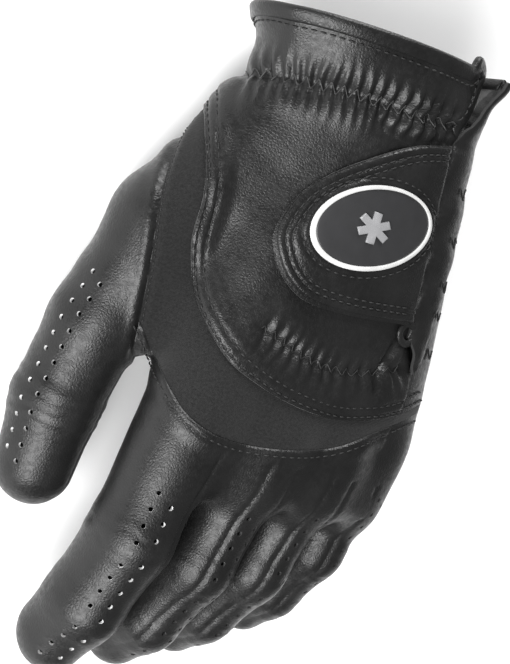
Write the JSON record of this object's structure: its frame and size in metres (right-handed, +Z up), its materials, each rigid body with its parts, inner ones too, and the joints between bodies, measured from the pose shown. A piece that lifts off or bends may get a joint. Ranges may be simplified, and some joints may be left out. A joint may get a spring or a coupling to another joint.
{
  "type": "golf glove",
  "caption": "Left-hand golf glove in black leather with a stretch knit panel, perforated fingers, gathered wrist and a closure tab with an oval badge.",
  "frame": {"origin": "bottom centre of the glove's bounding box, palm down on the floor", "axes": "+Y from the fingertips to the cuff, +X towards the little finger, +Z up, away from the palm"},
  "size_m": [0.121, 0.2054, 0.0629],
  "materials": {
    "leather": "smooth fine grain",
    "binding": "smooth",
    "stretch_knit": "matte knit",
    "elastic": "matte",
    "lining": "matte",
    "fastener": "matte",
    "badge_field": "satin",
    "badge_ring": "satin",
    "badge_emblem": "satin"
  },
  "bodies": {
    "hand": {"palm_panel": "leather", "back_panel": "leather", "stretch_panel": "stretch_knit", "finger_yoke": "leather", "thumb_mount": "leather", "ulnar_panel": "leather", "wrist_elastic": "elastic", "knuckle_elastic": "elastic", "ulnar_elastic": "elastic", "cuff_binding": "binding", "slit_binding": "binding", "loop_patch": "fastener"},
    "tab": {"hook_patch": "fastener", "tab_lining": "lining", "tab_leather": "leather", "badge_base": "badge_field", "badge_ring": "badge_ring", "badge_emblem": "badge_emblem"},
    "index_proximal": {"index_proximal_fourchette_little_side": "leather", "index_proximal_sleeve": "leather"},
    "index_distal": {"index_distal_fourchette_little_side": "leather", "index_distal_sleeve": "leather"},
    "middle_proximal": {"middle_proximal_fourchette_thumb_side": "leather", "middle_proximal_fourchette_little_side": "leather", "middle_proximal_palm": "leather", "middle_proximal_back": "leather"},
    "middle_distal": {"middle_distal_fourchette_thumb_side": "leather", "middle_distal_fourchette_little_side": "leather", "middle_distal_palm": "leather", "middle_distal_back": "leather"},
    "ring_proximal": {"ring_proximal_fourchette_thumb_side": "leather", "ring_proximal_fourchette_little_side": "leather", "ring_proximal_palm": "leather", "ring_proximal_back": "leather"},
    "ring_distal": {"ring_distal_fourchette_thumb_side": "leather", "ring_distal_fourchette_little_side": "leather", "ring_distal_palm": "leather", "ring_distal_back": "leather"},
    "little_proximal": {"little_proximal_fourchette_thumb_side": "leather", "little_proximal_sleeve": "leather"},
    "little_distal": {"little_distal_fourchette_thumb_side": "leather", "little_distal_sleeve": "leather"},
    "thumb_proximal": {"thumb_proximal_palm": "leather", "thumb_proximal_back": "leather"},
    "thumb_distal": {"thumb_distal_palm": "leather", "thumb_distal_back": "leather"}
  },
  "joints": [
    {"name": "tab_hinge", "type": "hinge", "parent": "hand", "child": "tab", "pos_m": [0.03282, 0.05433, 0.05786], "axis": [-0.1358, 0.9872, -0.0837], "range_deg": [0, 120]},
    {"name": "index_base", "type": "hinge", "parent": "hand", "child": "index_proximal", "pos_m": [-0.02354, -0.03322, 0.04472], "axis": [0.9945, -0.1036, 0.014], "range_deg": [-10, 15]},
    {"name": "index_bend", "type": "hinge", "parent": "index_proximal", "child": "index_distal", "pos_m": [-0.02563, -0.05327, 0.0446], "axis": [0.9945, -0.1036, 0.014], "range_deg": [-10, 25]},
    {"name": "middle_base", "type": "hinge", "parent": "hand", "child": "middle_proximal", "pos_m": [0.00179, -0.03289, 0.04717], "axis": [0.9962, -0.0864, 0.0117], "range_deg": [-10, 15]},
    {"name": "middle_bend", "type": "hinge", "parent": "middle_proximal", "child": "middle_distal", "pos_m": [-0.00046, -0.05939, 0.04375], "axis": [0.9962, -0.0864, 0.0117], "range_deg": [-10, 25]},
    {"name": "ring_base", "type": "hinge", "parent": "hand", "child": "ring_proximal", "pos_m": [0.02479, -0.03316, 0.04518], "axis": [0.9962, -0.0864, 0.0117], "range_deg": [-10, 15]},
    {"name": "ring_bend", "type": "hinge", "parent": "ring_proximal", "child": "ring_distal", "pos_m": [0.02284, -0.05622, 0.04097], "axis": [0.9962, -0.0864, 0.0117], "range_deg": [-10, 25]},
    {"name": "little_base", "type": "hinge", "parent": "hand", "child": "little_proximal", "pos_m": [0.0477, -0.034, 0.03895], "axis": [0.9986, -0.0519, 0.007], "range_deg": [-10, 15]},
    {"name": "little_bend", "type": "hinge", "parent": "little_proximal", "child": "little_distal", "pos_m": [0.04703, -0.04713, 0.03656], "axis": [0.9986, -0.0519, 0.007], "range_deg": [-10, 25]},
    {"name": "thumb_base", "type": "hinge", "parent": "hand", "child": "thumb_proximal", "pos_m": [-0.04468, -0.00229, 0.01599], "axis": [0.6481, -0.043, 0.7604], "range_deg": [-10, 8]},
    {"name": "thumb_bend", "type": "hinge", "parent": "thumb_proximal", "child": "thumb_distal", "pos_m": [-0.04668, -0.02681, 0.01376], "axis": [0.6481, -0.043, 0.7604], "range_deg": [-10, 15]}
  ]
}
